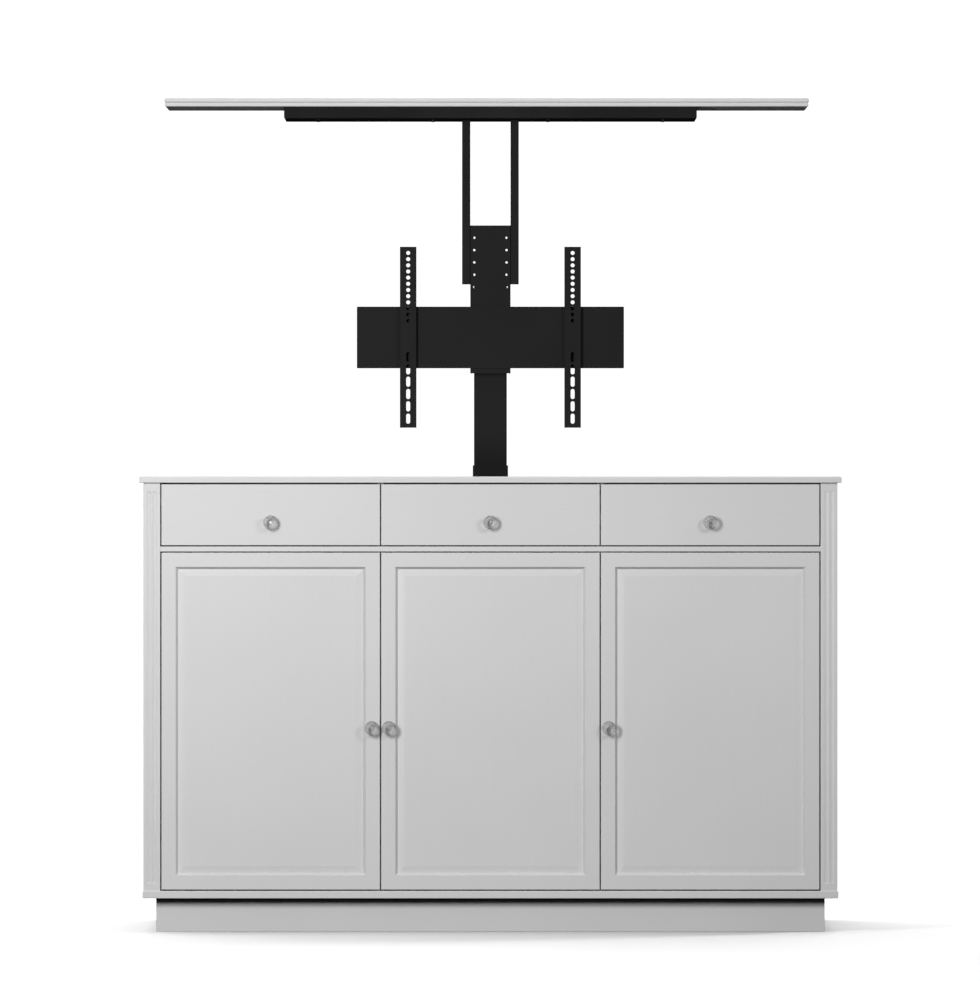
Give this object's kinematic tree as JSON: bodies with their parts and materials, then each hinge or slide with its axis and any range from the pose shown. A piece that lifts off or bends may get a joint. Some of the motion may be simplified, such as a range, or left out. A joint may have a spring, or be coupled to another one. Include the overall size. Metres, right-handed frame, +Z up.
{
  "type": "tv lift cabinet",
  "caption": "Pale painted sideboard with drawers, panelled doors and fluted corner posts; a driven telescopic column raises a flat-screen bracket and a lid out of a slot in its top.",
  "frame": {"origin": "on the floor, under the middle of the whole box with the lift raised and the knobs counted", "axes": "+Z up, -Y out of the doors and drawers, +X to the right seen from the front"},
  "size_m": [1.672, 0.582, 2.002],
  "materials": {
    "painted_wood": "pale neutral grey satin paint on board",
    "pale_wood": "clear lacquered pale birch plywood",
    "black_steel": "fine black powder coat on steel",
    "zinc_steel": "zinc plated steel",
    "bright_nickel": "bright nickel plate",
    "clear_glass": "clear cut glass",
    "black_plastic": "fine textured black plastic",
    "white_plastic": "slick natural white plastic",
    "cast_alloy": "as cast alloy"
  },
  "bodies": {
    "cabinet": {"back_panel": "painted_wood", "base_board": "painted_wood", "column_foot": "black_steel", "column_outer_tube": "black_steel", "compartment_wall": "painted_wood", "control_box": "black_plastic", "corner_posts": "painted_wood", "dividers": "painted_wood", "door_fittings": "white_plastic", "door_shelves": "painted_wood", "drawer_rails": "zinc_steel", "drawer_shelf": "painted_wood", "drive_gearbox": "cast_alloy", "drive_motor": "black_steel", "foot_bolts": "zinc_steel", "mains_inlet": "black_plastic", "outer_collar": "black_plastic", "plinth_frame": "painted_wood", "plinth_front": "painted_wood", "rail_spacers": "pale_wood", "shelf_pins": "zinc_steel", "side_panels": "painted_wood", "top_board": "painted_wood"},
    "lift_middle": {"column_middle_tube": "black_steel", "middle_collar": "black_plastic", "lower_nut": "white_plastic"},
    "lift_inner": {"column_inner_tube": "black_steel", "upper_nut": "white_plastic", "head_plate": "black_steel", "lift_channel": "black_steel", "screen_plate": "black_steel", "screen_arm_left": "black_steel", "screen_arm_right": "black_steel", "lid_posts": "black_steel", "lid_tray": "black_steel", "lid": "painted_wood", "lift_fasteners": "black_steel"},
    "drive_spindle": {"drive_spindle": "zinc_steel"},
    "upper_spindle": {"upper_spindle": "zinc_steel"},
    "drawer_left": {"drawer_left_front": "painted_wood", "drawer_left_box": "pale_wood", "drawer_left_knob": "clear_glass", "drawer_left_hardware": "bright_nickel"},
    "door_left": {"door_left": "painted_wood", "door_left_knob": "clear_glass", "door_left_hardware": "bright_nickel"},
    "drawer_center": {"drawer_center_front": "painted_wood", "drawer_center_box": "pale_wood", "drawer_center_knob": "clear_glass", "drawer_center_hardware": "bright_nickel"},
    "door_center": {"door_center": "painted_wood", "door_center_knob": "clear_glass", "door_center_hardware": "bright_nickel"},
    "drawer_right": {"drawer_right_front": "painted_wood", "drawer_right_box": "pale_wood", "drawer_right_knob": "clear_glass", "drawer_right_hardware": "bright_nickel"},
    "door_right": {"door_right": "painted_wood", "door_right_knob": "clear_glass", "door_right_hardware": "bright_nickel"}
  },
  "joints": [
    {"name": "lift_lower_stage", "type": "slide", "parent": "cabinet", "child": "lift_middle", "axis": [0, 0, 1], "range_m": [-0.4475, 0]},
    {"name": "lift_upper_stage", "type": "slide", "parent": "lift_middle", "child": "lift_inner", "axis": [0, 0, 1], "range_m": [-0.4475, 0]},
    {"name": "drive_spindle_spin", "type": "hinge", "parent": "cabinet", "child": "drive_spindle", "pos_m": [0, 0.216, 0.3], "axis": [0, 0, 1], "range_deg": [-8056, 0]},
    {"name": "upper_spindle_spin", "type": "hinge", "parent": "lift_middle", "child": "upper_spindle", "pos_m": [0, 0.216, 0.8], "axis": [0, 0, 1], "range_deg": [-8056, 0]},
    {"name": "drawer_left_slide", "type": "slide", "parent": "cabinet", "child": "drawer_left", "axis": [0, -1, 0], "range_m": [0, 0.18]},
    {"name": "drawer_center_slide", "type": "slide", "parent": "cabinet", "child": "drawer_center", "axis": [0, -1, 0], "range_m": [0, 0.18]},
    {"name": "drawer_right_slide", "type": "slide", "parent": "cabinet", "child": "drawer_right", "axis": [0, -1, 0], "range_m": [0, 0.18]},
    {"name": "door_left_hinge", "type": "hinge", "parent": "cabinet", "child": "door_left", "pos_m": [-0.7772, -0.254, 0.5], "axis": [0, 0, -1], "range_deg": [0, 95]},
    {"name": "door_center_hinge", "type": "hinge", "parent": "cabinet", "child": "door_center", "pos_m": [0.25413, -0.254, 0.5], "axis": [0, 0, 1], "range_deg": [0, 90]},
    {"name": "door_right_hinge", "type": "hinge", "parent": "cabinet", "child": "door_right", "pos_m": [0.7772, -0.254, 0.5], "axis": [0, 0, 1], "range_deg": [0, 95]}
  ],
  "couplings": [
    {"joint": "lift_upper_stage", "follows": "lift_lower_stage", "ratio": 1},
    {"joint": "drive_spindle_spin", "follows": "lift_lower_stage", "rad_per_m": 314.16},
    {"joint": "upper_spindle_spin", "follows": "lift_lower_stage", "rad_per_m": 314.16}
  ]
}
